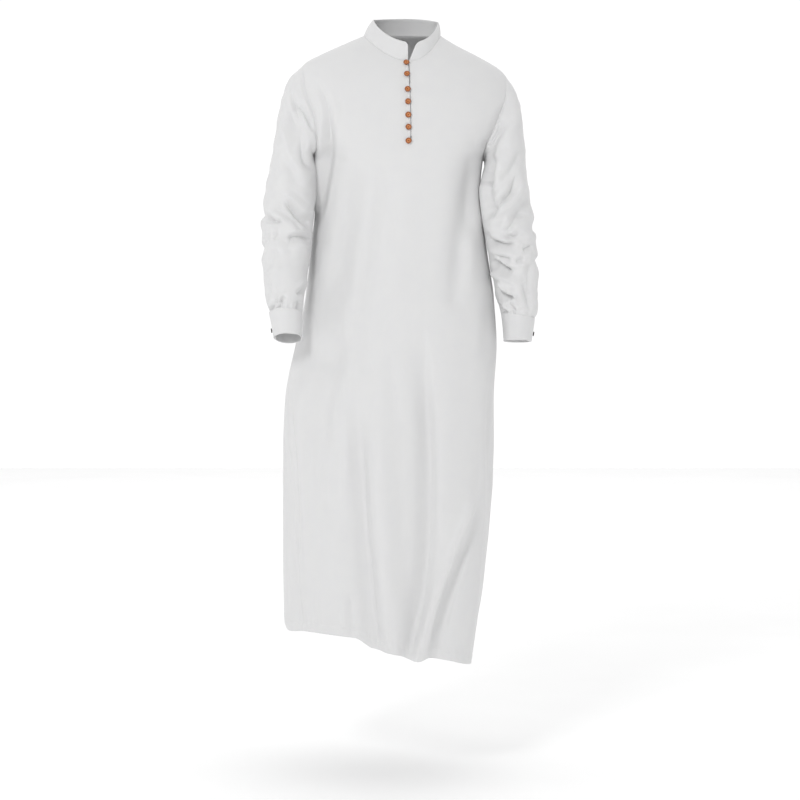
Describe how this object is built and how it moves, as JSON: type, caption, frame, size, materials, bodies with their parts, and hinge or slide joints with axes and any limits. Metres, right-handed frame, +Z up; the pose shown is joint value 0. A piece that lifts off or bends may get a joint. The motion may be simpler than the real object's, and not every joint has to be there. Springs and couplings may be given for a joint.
{
  "type": "thobe robe",
  "caption": "Plain white ankle-length thobe robe with a band collar, a buttoned neck slit, long set-in sleeves and buttoned cuffs, in its worn open form.",
  "frame": {"origin": "middle of the two places where the collar meets the shoulder seams, where the wearer's shoulders carry the robe", "axes": "+Z up along the robe, the front faces -Y, +X is the wearer's left"},
  "size_m": [0.5876, 0.4399, 1.3703],
  "materials": {
    "robe_cloth": "matt, fine plain weave",
    "band_cloth": "matt, firm, interlined band",
    "loop_cloth": "matt rolled cloth",
    "button_wood": "turned, satin lacquer",
    "cuff_button": "satin"
  },
  "bodies": {
    "root": {"front_panel": "robe_cloth", "back_panel": "robe_cloth", "sleeve_right": "robe_cloth", "sleeve_left": "robe_cloth", "cuff_right": "band_cloth", "cuff_left": "band_cloth", "collar": "band_cloth", "placket_underlap": "robe_cloth", "button_1": "button_wood", "button_2": "button_wood", "button_3": "button_wood", "button_4": "button_wood", "button_5": "button_wood", "button_6": "button_wood", "button_7": "button_wood", "loop_1": "loop_cloth", "loop_2": "loop_cloth", "loop_3": "loop_cloth", "loop_4": "loop_cloth", "loop_5": "loop_cloth", "loop_6": "loop_cloth", "loop_7": "loop_cloth", "cuff_button_right": "cuff_button", "cuff_button_left": "cuff_button"}
  },
  "joints": []
}
